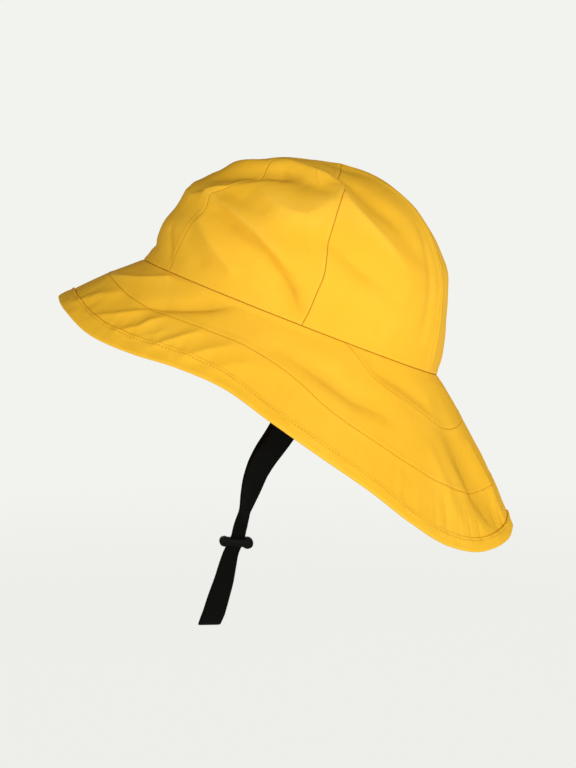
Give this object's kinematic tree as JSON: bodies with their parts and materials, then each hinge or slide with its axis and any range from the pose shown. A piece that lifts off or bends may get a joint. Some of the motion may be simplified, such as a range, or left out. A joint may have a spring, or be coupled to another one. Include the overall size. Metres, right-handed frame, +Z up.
{
  "type": "sou'wester hat",
  "caption": "Yellow coated-cloth rain hat: gored domed crown, brim drawn out long at the back with a stitched hem, and a black webbing chin strap with a bar slide.",
  "frame": {"origin": "middle of the head opening, in the plane of the seam between the crown and the brim", "axes": "+Z up as the hat is worn in the picture, with the head opening tilted 21.6 degrees down at the back; the hat's front is toward -Y and the wearer's left toward +X"},
  "size_m": [0.2522, 0.3013, 0.3221],
  "materials": {
    "coated_cloth": "smooth matt coated cloth",
    "webbing": "woven black webbing",
    "slide_plastic": "moulded satin black"
  },
  "bodies": {
    "root": {"crown_gore_front": "coated_cloth", "crown_gore_front_left": "coated_cloth", "crown_gore_back_left": "coated_cloth", "crown_gore_back": "coated_cloth", "crown_gore_back_right": "coated_cloth", "crown_gore_front_right": "coated_cloth", "brim_back_gusset": "coated_cloth", "brim_upper": "coated_cloth", "brim_lower": "coated_cloth", "brim_hem": "coated_cloth", "chin_strap": "webbing", "strap_slide": "slide_plastic"}
  },
  "joints": []
}
